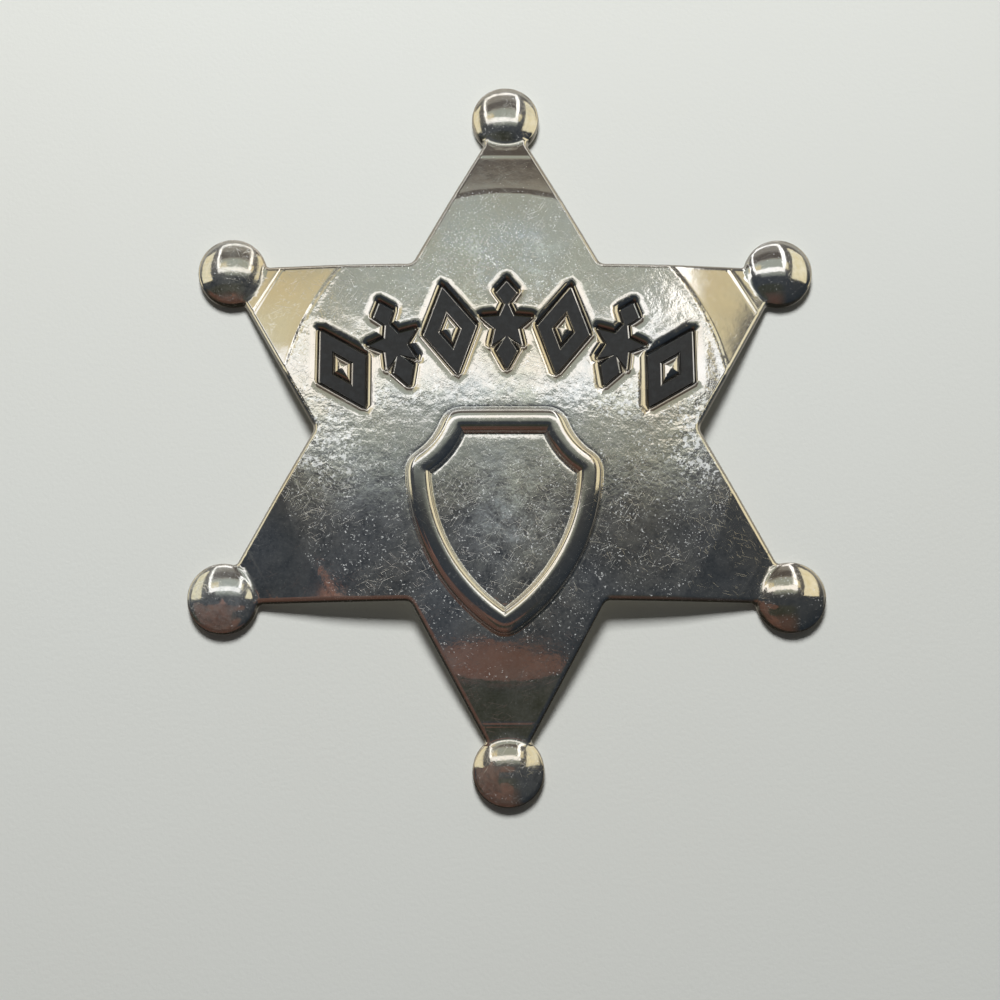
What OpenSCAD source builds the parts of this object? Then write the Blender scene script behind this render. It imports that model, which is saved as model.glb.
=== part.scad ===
/* [Star] */
// Distance from the middle of the star to the middle of the top ball tip
tip_reach = 31.7; // [26:0.1:38]
// Distance from the middle of the star to a notch, measured towards the top
notch_reach = 18.7; // [16:0.1:21]
// Width of the star as a share of a regular star's width
width_share = 0.966; // [0.92:0.002:1.06]
// Radius in the corner of each notch
notch_fillet = 0.8; // [0.3:0.1:1.5]
// How far past the middle of a ball tip the edges of its point would meet
edge_past = 1.1; // [0:0.1:1.5]
// Radius where the edge of a point runs into its ball tip
neck_fillet = 0.5; // [0.3:0.1:2]

/* [Sheet] */
// Thickness of the stamped sheet
sheet = 0.9; // [0.6:0.05:1.2]
// Radius of the shallow dome in the middle of the star
dome_r = 180; // [140:5:260]
// Distance from the middle at which the points bend down
crease_r = 22.8; // [21.5:0.1:24]
// Slope of the points beyond the bend, in degrees
point_slope = 10.5; // [8:0.5:12]
// Height of the underside where a point meets its ball tip
neck_lift = 0.35; // [0.2:0.05:0.6]

/* [Ball tips] */
// Radius of a ball tip's dome where it stands on its rim
ball_r = 3.15; // [2.6:0.05:3.6]
// Height of a ball tip above the surface
ball_h = 2.2; // [2:0.05:2.5]
// Wall of a ball tip
ball_wall = 0.8; // [0.6:0.05:0.9]
// Width of the rim round the dome of a ball tip
rim_w = 0.15; // [0.1:0.05:0.3]
// Thickness of that rim
rim_t = 1.1; // [0.9:0.05:1.2]
// Width of the flat ring that a ball tip stands on
ring_w = 0.55; // [0.4:0.05:0.7]

/* [Raised outline] */
// Height of the top line of the shield above the middle of the star
shield_top = 0.46; // [-0.5:0.02:1.2]
// Sideways place of the shield
shield_shift = -0.3; // [-0.6:0.1:0.6]
// Half of the length of the top line
shield_top_half = 4.6; // [4:0.1:5]
// Half of the width of the shield at its shoulders
shield_half = 8; // [7:0.1:8.6]
// Drop from the top line to the shoulder corners
shoulder_drop = 4.3; // [3.6:0.1:5]
// How far the shoulders curve inwards
shoulder_sag = 0.55; // [0.3:0.05:0.9]
// Drop from the top line to the lowest point
shield_drop = 18.9; // [17:0.1:19.4]
// Half of the width of the raised line
bead_half = 1.15; // [0.9:0.05:1.3]
// Height of the raised line
bead_h = 0.7; // [0.5:0.05:0.8]

/* [Arched band] */
// Number of sunk fields
fields = 7; // [5:2:7]
// Distance of the band's centre below the middle of the star
band_drop = 21.5; // [20.5:0.1:22.5]
// Radius of the middle of the band
band_r = 31.4; // [31:0.1:32]
// Angle from one field to the next, in degrees
field_pitch = 9.9; // [9.6:0.05:10.1]
// Height of a lozenge
lozenge_h = 8.8; // [7.6:0.1:9.2]
// Width of a lozenge
lozenge_w = 5; // [4.4:0.1:5.2]
// Width of the sunk line of a lozenge
lozenge_line = 1.2; // [0.9:0.05:1.3]
// Radius of a star's five points
star_r = 2.5; // [2:0.05:2.6]
// Radius of the corners between a star's points
star_inner_r = 1.15; // [0.9:0.05:1.3]
// Width of the diamonds above and below a star
diamond_w = 1.9; // [1.4:0.1:2.1]
// Height of the upper diamond
diamond_h = 2.3; // [2:0.1:2.8]
// How far the diamonds reach into the star
diamond_lap = 0.35; // [0.25:0.05:0.5]
// Width of the necks between them
neck_w = 0.3; // [0.2:0.02:0.5]
// Height of the lower diamond
drop_h = 3.5; // [3.1:0.1:3.9]
// Depth of a sunk field
sink = 0.55; // [0.4:0.05:0.6]
// Thickness of the black enamel in a field
enamel_t = 0.1; // [0.06:0.02:0.2]
// Gap round the enamel
enamel_gap = 0.03; // [0.02:0.01:0.06]

/* [Pin] */
// Height of the pin's line above the middle of the star
pin_y = 4.6; // [4:0.1:6]
// Length of the pin's foot strip
strip_l = 30; // [24:0.5:34]
// Width of the foot strip
strip_w = 3.6; // [3:0.1:4.4]
// Thickness of the foot strip
strip_t = 0.5; // [0.4:0.05:0.7]
// Gap between the foot strip and the underside of the star
seat_gap = 0.05; // [0.03:0.01:0.15]
// Radius of the knuckle that carries the wire
knuckle_r = 0.8; // [0.7:0.05:0.9]
// Length of the knuckle
knuckle_l = 3; // [2.4:0.1:3.6]
// Gap between the knuckle and the surface
knuckle_gap = 0.2; // [0.1:0.05:0.3]
// Distance between the knuckle and the catch
wire_span = 24; // [20:0.5:27]
// Diameter of the wire
wire_d = 0.8; // [0.7:0.05:1]
// Length of the wire's point
wire_tip = 3; // [2:0.1:4]
// Distance that the wire runs past the catch
wire_past = 1.6; // [1:0.1:2]
// Wall of the catch
catch_wall = 0.35; // [0.3:0.05:0.4]
// Width of the catch along the wire
catch_w = 2; // [1.4:0.1:2.6]
// Gap between the wire and the catch
catch_gap = 0.05; // [0.03:0.01:0.1]

/* [Hidden] */

// Sides of round shapes
ROUND = 64;
// Sides of the turned crown, and of the wide circle of its dome
TURN = 240;
ARC = 2880;
// A height above everything
HIGH = 20;
// Steps along a fillet, and along each part of the shield's line
FILLET_STEPS = 6;
TOP_STEPS = 4;
SHOULDER_STEPS = 5;
SIDE_STEPS = 12;
// Sides of the raised line's round top, and how deep its foot is sunk
BEAD_SIDES = 8;
BEAD_FOOT = 0.2;

// The six points
POINTS = 6;
tip_step = 360 / POINTS;
neck_r = tip_reach - ball_r;
ball_rise = ball_h - rim_t;
ball_sphere_r = (ball_r * ball_r + ball_rise * ball_rise) / (2 * ball_rise);
reach_all = tip_reach + ball_r + rim_w;
hollow_r = ball_r + rim_w - ring_w;

// The crown's underside, as a dome inside the bend and a cone outside it
crease_z = neck_lift + (neck_r - crease_r) * tan(point_slope);
dome_mid = crease_z - sqrt(dome_r * dome_r - crease_r * crease_r);

// Corners of the shield: the ends of the top line, a shoulder, the lowest point, a shoulder
shield_corners = [
    for (p = [
        [-shield_top_half, 0],
        [shield_top_half, 0],
        [shield_half, -shoulder_drop],
        [0, -shield_drop],
        [-shield_half, -shoulder_drop]
    ]) p + [shield_shift, shield_top]
];
// A side is an arc that leaves its shoulder straight down, and bows by this much
side_fall = shield_drop - shoulder_drop;
side_r = (shield_half * shield_half + side_fall * side_fall) / (2 * shield_half);
side_sag = side_r - sqrt(side_r * side_r - pow(norm([shield_half, side_fall]) / 2, 2));

// Angle between the outer and the inner corners of a five-point star
star_step = 36;

knuckle_z = knuckle_gap + knuckle_r;
catch_r = wire_d / 2 + catch_gap + catch_wall;
// Length of the wire before its point
wire_body = wire_span + wire_past - wire_tip;

// A place at a radius and an angle, drawn in to the star's width
function place(r, angle) = [r * width_share * cos(angle), r * sin(angle)];
function tip(i) = place(tip_reach, 90 + tip_step * i);
function notch(i) = place(notch_reach, 90 + tip_step * (i + 0.5));
// Where the edges of point i would meet
function edge_end(i) = place(tip_reach + edge_past, 90 + tip_step * i);

// Height of the underside of the sheet at a distance r from the middle
function under_z(r) = r < crease_r
    ? dome_mid + sqrt(dome_r * dome_r - r * r)
    : crease_z - (r - crease_r) * tan(point_slope);

// A unit vector from p to q, and its left-hand normal
function way(p, q) = (q - p) / norm(q - p);
function left(v) = [-v[1], v[0]];

// Everything under a surface that runs lift above the sheet's underside
module under_crown(lift) {
    far = reach_all + 1;
    rotate_extrude($fn = TURN)
        intersection() {
            translate([0, dome_mid]) circle(r = dome_r + lift, $fn = ARC);
            polygon([
                [0, -HIGH],
                [far, -HIGH],
                [far, crease_z - (far - crease_r) * tan(point_slope) + lift],
                [0, crease_z + crease_r * tan(point_slope) + lift]
            ]);
        }
}

// A layer that follows the crown, from low to high above the sheet's underside
module crown_layer(low, high) {
    difference() {
        under_crown(high);
        under_crown(low);
    }
}

// Points along the arc round mid from p to q, the short way
function arc_points(mid, p, q) =
    let (start = atan2(p[1] - mid[1], p[0] - mid[0]), end = atan2(q[1] - mid[1], q[0] - mid[0]))
    let (turn = (end - start + 540) % 360 - 180)
    [for (k = [0:FILLET_STEPS])
        let (a = start + turn * k / FILLET_STEPS)
        mid + norm(p - mid) * [cos(a), sin(a)]];

// The rounded corner of notch i, from point i of the star to the next
function notch_arc(i) =
    let (corner = notch(i), one = way(corner, edge_end(i)), other = way(corner, edge_end(i + 1)))
    let (out = (one + other) / norm(one + other), half = acos(one * out))
    let (run = notch_fillet / tan(half))
    arc_points(corner + out * notch_fillet / sin(half), corner + one * run, corner + other * run);

// The round run from an edge of point i, which starts at a notch, into its ball tip
function neck_arc(i, corner, side) =
    let (along = way(edge_end(i), corner), out = left(along) * side, back = tip(i) - edge_end(i))
    let (mid_r = ball_r + neck_fillet, aside = neck_fillet - back * out)
    let (foot = edge_end(i) + along * (back * along + sqrt(mid_r * mid_r - aside * aside)))
    let (mid = foot + out * neck_fillet)
    arc_points(mid, foot, mid + way(mid, tip(i)) * neck_fillet);

function reversed(list) = [for (k = [len(list) - 1:-1:0]) list[k]];

// The star seen from above, without its ball tips
module star_outline() {
    polygon([for (i = [0:POINTS - 1]) each concat(
        neck_arc(i, notch(i - 1), 1),
        [tip(i)],
        reversed(neck_arc(i, notch(i), -1)),
        notch_arc(i)
    )]);
}

// Puts its children at each ball tip
module at_tips() {
    for (i = [0:POINTS - 1]) translate(tip(i)) children();
}

// The sphere of a ball tip, drawn in by a wall
module ball_sphere(wall) {
    translate([0, 0, ball_h - ball_sphere_r]) sphere(r = ball_sphere_r - wall, $fn = ROUND);
}

// The outside of a ball tip: a dome on its rim
module ball_cap() {
    intersection() {
        ball_sphere(0);
        cylinder(r = ball_r + rim_w / 2, h = HIGH, $fn = ROUND);
    }
    cylinder(r = ball_r + rim_w, h = rim_t, $fn = ROUND);
}

// The hollow of a ball tip: a smaller dome, cut off where the ring begins
module ball_hollow() {
    intersection() {
        ball_sphere(ball_wall);
        translate([0, 0, -HIGH / 2]) cylinder(r = hollow_r, h = HIGH, $fn = ROUND);
    }
}

// Points from p to q on an arc that bows by sag, to the left where sag is positive, without q
function bowed(p, q, sag, steps) =
    let (span = norm(q - p), bow_r = (span * span / 4 + sag * sag) / (2 * abs(sag)))
    let (mid = (p + q) / 2 + left(way(p, q)) * (sag - sign(sag) * bow_r))
    let (start = atan2(p[1] - mid[1], p[0] - mid[0]), half = asin(span / 2 / bow_r) * sign(sag))
    [for (k = [0:steps - 1]) let (a = start - 2 * half * k / steps) mid + bow_r * [cos(a), sin(a)]];

// The middle of the raised line, once round the shield
function shield_line() =
    let (c = shield_corners)
    concat(
        [for (k = [0:TOP_STEPS - 1]) c[0] + (c[1] - c[0]) * k / TOP_STEPS],
        bowed(c[1], c[2], -shoulder_sag, SHOULDER_STEPS),
        bowed(c[2], c[3], side_sag, SIDE_STEPS),
        bowed(c[3], c[4], side_sag, SIDE_STEPS),
        bowed(c[4], c[0], -shoulder_sag, SHOULDER_STEPS)
    );

// The section of the raised line: half an ellipse on a foot sunk in the sheet, as [across, up]
function bead_section() = concat(
    [[bead_half, -BEAD_FOOT]],
    [for (k = [0:BEAD_SIDES]) let (a = 180 * k / BEAD_SIDES) [bead_half * cos(a), bead_h * sin(a)]],
    [[-bead_half, -BEAD_FOOT]]
);

// The raised line, swept round the shield on a surface lift above the sheet's underside
module shield_bead(lift) {
    line = shield_line();
    section = bead_section();
    n = len(line);
    m = len(section);
    points = [for (k = [0:n - 1])
        let (back = way(line[(k + n - 1) % n], line[k]), ahead = way(line[k], line[(k + 1) % n]))
        let (mitre = left(back + ahead) / (1 + back * ahead))
        for (s = section)
            let (spot = line[k] + mitre * s[0])
            [spot[0], spot[1], under_z(norm(spot)) + lift + s[1]]];
    faces = [for (k = [0:n - 1], j = [0:m - 1])
        let (here = k * m, next = ((k + 1) % n) * m, j2 = (j + 1) % m)
        each [[here + j, here + j2, next + j2], [here + j, next + j2, next + j]]];
    polyhedron(points, faces);
}

// A diamond round the origin, with its sides drawn in by gap
module diamond(w, h, gap) {
    share = 1 - 2 * gap * norm([w, h]) / (w * h);
    polygon([[-w / 2, 0], [0, -h / 2], [w / 2, 0], [0, h / 2]] * share);
}

// The sunk line of a tall lozenge, as a ring
module lozenge_ring() {
    difference() {
        diamond(lozenge_w, lozenge_h, 0);
        diamond(lozenge_w, lozenge_h, lozenge_line);
    }
}

// Corner k of a five-point star, 0 at its top
function star_corner(k) =
    (k % 2 == 0 ? star_r : star_inner_r) * [sin(k * star_step), cos(k * star_step)];

// A five-point star between two diamonds, which narrow necks join to it
module star_drop() {
    upper = star_r + diamond_h - diamond_lap;
    lower = -star_inner_r - drop_h + diamond_lap;
    right = [
        [0, upper],
        [diamond_w / 2, upper - diamond_h / 2],
        [neck_w / 2, star_r - diamond_lap],
        star_corner(1),
        star_corner(2),
        star_corner(3),
        star_corner(4),
        [neck_w / 2, -star_inner_r],
        [diamond_w / 2, lower + drop_h / 2],
        [0, lower]
    ];
    polygon(concat(right, [for (k = [len(right) - 2:-1:1]) [-right[k][0], right[k][1]]]));
}

// The plan of field i of the arched band
module field_plan(i) {
    translate([0, -band_drop]) rotate(((fields + 1) / 2 - i) * field_pitch) translate([0, band_r])
        if (i % 2 == 1) lozenge_ring();
        else star_drop();
}

// A column over a plan, through everything
module column() {
    translate([0, 0, -HIGH / 2]) linear_extrude(HIGH) children();
}

module star_plate() {
    color("silver")
        difference() {
            union() {
                intersection() {
                    crown_layer(0, sheet);
                    column() star_outline();
                }
                at_tips() ball_cap();
                shield_bead(sheet);
            }
            at_tips() ball_hollow();
            shield_bead(0);
            difference() {
                column() for (i = [1:fields]) field_plan(i);
                under_crown(sheet - sink);
            }
        }
}

module enamel(i) {
    color("black")
        intersection() {
            crown_layer(sheet - sink, sheet - sink + enamel_t);
            column() offset(delta = -enamel_gap) field_plan(i);
        }
}

// The strip behind the star that the pin stands on, seen from above
module strip_plan() {
    translate([-strip_l / 2, -strip_w / 2]) square([strip_l, strip_w]);
    for (side = [-1, 1]) translate([side * strip_l / 2, 0]) circle(d = strip_w, $fn = ROUND);
}

// A round rod along X at the wire's height, from x = from towards -X
module wire_rod(from, length, r1, r2) {
    translate([from, 0, knuckle_z]) rotate([0, -90, 0]) cylinder(r1 = r1, r2 = r2, h = length, $fn = ROUND);
}

// The hook that holds the wire: a trough under it, and a wall up to the strip on one side
module catch() {
    difference() {
        union() {
            wire_rod(catch_w / 2, catch_w, catch_r, catch_r);
            translate([-catch_w / 2, catch_r - catch_wall, knuckle_z]) cube([catch_w, catch_wall, HIGH]);
        }
        wire_rod(catch_w, 2 * catch_w, catch_r - catch_wall, catch_r - catch_wall);
        translate([-catch_w, -HIGH + catch_r - catch_wall, knuckle_z]) cube([2 * catch_w, HIGH, HIGH]);
    }
}

module pin_back() {
    color("gray")
        intersection() {
            under_crown(-seat_gap);
            translate([0, pin_y, 0]) {
                difference() {
                    column() strip_plan();
                    translate([0, -pin_y, 0]) under_crown(-seat_gap - strip_t);
                }
                translate([wire_span / 2, 0, 0]) {
                    translate([0, knuckle_l / 2, knuckle_z]) rotate([90, 0, 0])
                        cylinder(r = knuckle_r, h = knuckle_l, $fn = ROUND);
                    translate([-knuckle_r, -knuckle_l / 2, knuckle_z])
                        cube([2 * knuckle_r, knuckle_l, HIGH]);
                }
                wire_rod(wire_span / 2, wire_body, wire_d / 2, wire_d / 2);
                wire_rod(wire_span / 2 - wire_body, wire_tip, wire_d / 2, wire_d / 8);
                translate([-wire_span / 2, 0, 0]) catch();
            }
        }
}

star_plate();
for (i = [1:fields])
    enamel(i);
pin_back();
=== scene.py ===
import math
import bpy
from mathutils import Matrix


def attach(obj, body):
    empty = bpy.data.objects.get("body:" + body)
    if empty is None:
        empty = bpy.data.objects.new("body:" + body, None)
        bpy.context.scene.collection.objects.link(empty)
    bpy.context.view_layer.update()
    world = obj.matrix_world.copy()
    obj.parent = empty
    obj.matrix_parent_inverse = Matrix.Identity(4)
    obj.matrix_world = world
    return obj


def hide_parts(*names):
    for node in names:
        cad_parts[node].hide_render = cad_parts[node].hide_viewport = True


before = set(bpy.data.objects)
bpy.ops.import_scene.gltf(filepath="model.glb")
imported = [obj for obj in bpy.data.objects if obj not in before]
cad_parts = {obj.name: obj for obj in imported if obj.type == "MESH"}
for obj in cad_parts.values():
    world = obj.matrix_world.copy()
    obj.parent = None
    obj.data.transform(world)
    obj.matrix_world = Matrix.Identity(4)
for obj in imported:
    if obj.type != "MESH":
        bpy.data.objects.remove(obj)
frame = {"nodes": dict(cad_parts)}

from types import SimpleNamespace

import bpy
import numpy as np
from bpy.props import FloatProperty, FloatVectorProperty, PointerProperty
from bpy.types import Operator, Panel, PropertyGroup
from mathutils import Matrix, Vector
from mathutils.geometry import delaunay_2d_cdt

bl_info = {
    "name": "Star badge",
    "version": (1, 0, 0),
    "blender": (4, 5, 0),
    "location": "3D View > Sidebar > Badge",
    "description": "Dresses a stamped star badge with ball tips in worn nickel plate and black enamel",
    "category": "Object",
}

MM = 0.001
POINTS = 6
# Patches of the face that rub against cloth and fingers: middle, half width and half height in
# millimetres, and how much haze and how many dents with painted glints (near-white flecks) they add
WORN_AND_GLINT_PATCHES = (
    (0, 16.5, 10, 4.5, 0.45, 0.1),
    (0, 3.2, 17, 1.7, 0.4, 0.4),
    (-10.5, 3.2, 3.4, 1.3, 0.1, 0.7),
    (11, 2.6, 4.4, 1.7, 0.1, 0.7),
    (-17.4, -1.2, 2.8, 3.6, 0.25, 0.9),
    (18.6, -1.6, 2.6, 4, 0.25, 0.9),
    (-13.5, -4, 5, 4.5, 0.25, 0.3),
    (13.5, -4, 5, 4.5, 0.2, 0.3),
    (0.5, -8, 4.5, 6, 0.5, 0.3),
    (-19.6, 10.5, 1.6, 3.4, 0.1, 0.5),
    (19.6, 10.5, 1.6, 3.4, 0.1, 0.5),
    (0, -21.5, 8, 2.2, -0.1, -0.22),
    (0, 9, 18, 5, 0.25, 0.1),
)
# Haze, and dents with painted glints, of the rest of the face, of the points and of the ball tips
EVEN_WEAR_AND_GLINTS = (0.17, 0.32)
POINT_WEAR_AND_GLINTS = (0.1, 0.06)
BALL_WEAR_AND_GLINTS = (0.2, 0.2)
# The ball tips' haze doubles over this way to the left, in millimetres
BALL_LEAN = 50
# Scratches: turn in degrees, width and length in millimetres, and the height of noise that they start at
SCRATCHES = (
    (24, 0.05, 2.4, 0.7), (-38, 0.055, 1.7, 0.7), (58, 0.05, 2.2, 0.69), (112, 0.055, 1.4, 0.7),
    (-12, 0.05, 2.8, 0.71),
)
# How the two sides of the sheet are cut up, in millimetres: rows beside the outline, steps round the balls
# and along the raised line, rows across that line as shares of its half width, the grid's pitch and its
# distance from the outline
FACE_CUT = SimpleNamespace(
    edge_rows=(0.04, 0.09, 0.15, 0.22, 0.3, 0.39, 0.5, 0.64), ring_step=0.16, line_step=0.16,
    line_rows=(0, 0.12, 0.24, 0.36, 0.48, 0.6, 0.7, 0.79, 0.86, 0.92, 0.965, 1, 1.04, 1.1, 1.2, 1.35),
    pitch=0.42, edge_gap=0.7,
)
UNDER_CUT = SimpleNamespace(
    edge_rows=(0.4,), ring_step=0.5, line_step=0.4, line_rows=(0, 0.4, 0.75, 0.95, 1.05, 1.3), pitch=0.9,
    edge_gap=0.5,
)
# Rings of points on a ball tip: inwards from its rim, and below inwards from the edge of the hollow
BALL_RINGS = (
    0.05, 0.1, 0.15, 0.2, 0.24, 0.3, 0.38, 0.48, 0.6, 0.75, 0.92, 1.1, 1.3, 1.52, 1.75, 2, 2.3, 2.6, 2.9,
)
HOLLOW_RINGS = (0.01, 0.05, 0.13, 0.26, 0.46, 0.76, 1.11, 1.61, 2.11)
# Rows of points beside the outline of a sunk field, negative inside it
FIELD_ROWS = (-0.3, -0.03, 0, 0.015, 0.04, 0.08, 0.13, 0.2, 0.28, 0.37, 0.48, 0.6, 0.73, 0.87, 1.1, 1.4, 1.75)
FIELD_STEP = 0.11
FIELD_CLEAR = 1.9
# Rows along the bend, from its radius, and the part there that the grid leaves free
BEND_ROWS = np.linspace(-1.1, 0.4, 12)
BEND_STEP = 0.19
BEND_CLEAR = (-0.35, 0.85)
# Rows across a neck on both sides of its pressed line, and half of that line's length
COLLAR_ROWS = np.linspace(-0.3, 0.3, 9)
COLLAR_HALF = 2.6
# Steps along the outline and the raised line, and how near to the outline other points may lie
EDGE_STEP = 0.15
BEAD_STEP = 0.15
EDGE_CLEAR = 0.02
# Points of different rows that lie nearer than this are one point
MERGE = 0.012
# Numbers of points in the outline's arcs, and in those of the raised line's sides
BALL_STEPS = 120
NECK_STEPS = 9
NOTCH_STEPS = 7
SHOULDER_STEPS = 37
SIDE_STEPS = 113
# Distances to the raised line and to the sunk fields are worked out this near to them, and FAR stands for
# what lies further off
BEAD_NEAR = 4
BAND_NEAR = 3
FAR = 1000.0
# How steeply the face falls beyond the outline, a ball's rim and the foot of the raised line
EDGE_FALL = 3
RIM_FALL = 4
BEAD_FALL = 3
# Share of a ball's rim that stands upright, below its rounded edge
RIM_UPRIGHT = 0.6
# Width over which a hollow ball's underside passes into the plain underside
HOLLOW_BLEND = 0.4
# Place of the groove beside the raised line, from the line's foot, in half widths of the groove
GROOVE_PLACE = 1.6
# A point of a row stays where it is at least this share of the row's distance from its outline or line
EDGE_KEPT = 0.9
LINE_KEPT = 0.93
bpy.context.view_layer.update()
BODY = "root"
FIELD_NODES = sorted(name for name in frame["nodes"] if name.startswith("enamel_"))


def length(name, mm, text):
    """A size property, given here in millimetres and kept in metres."""
    return FloatProperty(name=name, description=text, default=mm * MM, unit="LENGTH", precision=5)


def angle(name, degrees, text):
    """An angle property, given here in degrees."""
    return FloatProperty(name=name, description=text, default=math.radians(degrees), subtype="ANGLE")


def number(name, value, text):
    """A property without a unit of its own."""
    return FloatProperty(name=name, description=text, default=value, precision=3)


def colour(name, hex_value, text):
    """A colour property, given here as sRGB hex."""
    return FloatVectorProperty(
        name=name, description=text, default=linear(hex_value), subtype="COLOR", min=0, max=1,
    )


def linear(hex_value):
    """An sRGB hex colour as linear red, green and blue."""
    parts = [int(hex_value[i : i + 2], 16) / 255 for i in (1, 3, 5)]
    return tuple(p / 12.92 if p <= 0.04045 else ((p + 0.055) / 1.055) ** 2.4 for p in parts)


class BadgeStarSizes(PropertyGroup):
    """Sizes of the stamped sheet"""

    tip_reach: length("Tip reach", 31.7, "Middle of the star to the middle of the top ball tip")
    notch_reach: length("Notch reach", 18.7, "Middle of the star to a notch, measured towards the top")
    width_share: number("Width share", 0.966, "Width of the star as a share of a regular star's width")
    notch_fillet: length("Notch fillet", 0.8, "Radius in the corner of each notch")
    edge_past: length("Edge past", 1.1, "How far past a ball tip's middle the edges of its point would meet")
    neck_fillet: length("Neck fillet", 0.5, "Radius where an edge runs into its ball tip")
    sheet: length("Sheet", 0.9, "Thickness of the stamped sheet")
    dome_r: length("Dome radius", 180, "Radius of the shallow dome in the middle")
    crease_r: length("Bend radius", 22.8, "Distance from the middle at which the points bend down")
    bend_tall: number("Bend height share", 1.04, "Upright reach of the bend as a share of its radius")
    bend_wide: number("Bend width share", 0.953, "Sideways reach of the bend as a share of its radius")
    crease_soft: length("Bend softness", 0.06, "How far the bend is rounded off")
    point_slope: angle("Point slope", 10.5, "Slope of the points beyond the bend")
    neck_lift: length("Neck lift", 0.35, "Height of the underside where a point meets its ball tip")
    edge_w: length("Edge roll width", 0.5, "Width of the rolled-over edge, seen from above")
    edge_h: length("Edge roll height", 0.42, "Height of the rolled-over edge")
    burr: length("Lower edge bevel", 0.06, "Bevel of the sheet's lower edge")
    fold_h: length("Fold height", 0.04, "Height of the pressed line just inside the bend")
    fold_w: length("Fold width", 0.36, "Half of the width of that line")
    fold_step: length("Fold step", 0.78, "Distance between the press marks along that line")


class BadgeTipSizes(PropertyGroup):
    """Sizes of the ball tips"""

    ball_r: length("Ball radius", 3.15, "Radius of a ball tip's dome where it stands on its rim")
    ball_h: length("Ball height", 2.2, "Height of a ball tip above the surface")
    ball_wall: length("Ball wall", 0.8, "Wall of a ball tip")
    rim_w: length("Rim width", 0.15, "Width of the rim round the dome of a ball tip")
    rim_t: length("Rim thickness", 1.1, "Thickness of that rim")
    ring_w: length("Ring width", 0.55, "Width of the flat ring that a ball tip stands on")
    neck_soft: length("Neck softness", 0.3, "How far a ball tip and its neck flow into each other")
    collar_at: length("Collar place", 4.1, "Distance of a neck's pressed line from its ball's middle")
    collar_h: length("Collar height", 0.03, "Height of that line")
    collar_w: length("Collar width", 0.2, "Half of the width of that line")


class BadgeShieldSizes(PropertyGroup):
    """Sizes of the raised shield outline"""

    top: length("Top", 0.46, "Height of the top line above the middle of the star")
    shift: length("Shift", -0.3, "Sideways place of the shield")
    top_half: length("Top half", 4.6, "Half of the length of the top line")
    half: length("Half width", 8, "Half of the width at the shoulders")
    shoulder_drop: length("Shoulder drop", 4.3, "Drop from the top line to the shoulder corners")
    shoulder_sag: length("Shoulder sag", 0.55, "How far the shoulders curve inwards")
    drop: length("Drop", 18.9, "Drop from the top line to the lowest point")
    bead_half: length("Line half width", 1.15, "Half of the width of the raised line")
    bead_h: length("Line height", 0.7, "Height of the raised line")
    bead_form: number("Line form", 2.6, "How flat the line's top is: 2 is half an ellipse")
    foot_soft: length("Foot softness", 0.16, "How far the line's foot flows into the sheet")
    corner_soft: length("Corner softness", 0.8, "How far along the line its corners are rounded")
    groove_h: length("Groove depth", 0.03, "Depth of the fine groove outside the line's foot")
    groove_w: length("Groove width", 0.12, "Half of the width of that groove")


class BadgeBandSizes(PropertyGroup):
    """Sizes of the arched band of sunk fields"""

    drop: length("Centre drop", 21.5, "Distance of the band's centre below the middle of the star")
    radius: length("Radius", 31.4, "Radius of the middle of the band")
    pitch: angle("Pitch", 9.9, "Angle from one field to the next")
    lozenge_h: length("Lozenge height", 8.8, "Height of a lozenge")
    lozenge_w: length("Lozenge width", 5, "Width of a lozenge")
    lozenge_line: length("Lozenge line", 1.2, "Width of the sunk line of a lozenge")
    star_r: length("Star radius", 2.5, "Radius of a star's five points")
    star_inner_r: length("Star inner radius", 1.15, "Radius of the corners between a star's points")
    diamond_w: length("Diamond width", 1.9, "Width of the diamonds above and below a star")
    diamond_h: length("Upper diamond height", 2.3, "Height of the upper diamond")
    diamond_lap: length("Diamond reach", 0.35, "How far the diamonds reach into the star")
    neck_w: length("Neck width", 0.3, "Width of the necks between them")
    drop_h: length("Lower diamond height", 3.5, "Height of the lower diamond")
    sink: length("Depth", 0.55, "Depth of a sunk field")
    foot_w: length("Foot width", 0.13, "Width of the bright line at the foot of a field's wall")
    foot_h: length("Foot height", 0.05, "Height of that line")
    wall_w: length("Wall width", 0.85, "Width of the pillowed wall round a field")
    lip_h: length("Lip height", 0.02, "Height of the lip round a field above the sheet")
    lip_w: length("Lip width", 1.3, "Width over which the lip dies out")
    ridge_soft: length("Ridge softness", 0.24, "Rounding of the ridge between two fields")


class BadgeFinish(PropertyGroup):
    """Colours of the finishes"""

    nickel: colour("Nickel", "#DEDEDD", "Nickel plate")
    nickel_warm: colour("Warm nickel", "#D9D1C4", "Nickel plate where it has yellowed")
    haze: colour("Haze", "#B2C3CB", "Hazed nickel in the middle")
    haze_green: colour("Green haze", "#BECBBC", "Haze with a touch of green")
    # Painted glints: the near-white colour given to flecks at dents and to the real scratches
    painted_glint: colour("Flecks", "#F4F6F4", "Bright flecks and scratches")
    patina: colour("Patina", "#15110E", "Dirt and black in the sunk walls")
    enamel: colour("Enamel", "#1C1D1F", "Black enamel")
    enamel_dust: colour("Enamel dust", "#2E3032", "Enamel where it is dusty")
    steel: colour("Steel", "#A3A19C", "Steel of the pin")
    steel_dark: colour("Dark steel", "#7B7A77", "Steel in the drawn lines")


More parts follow.
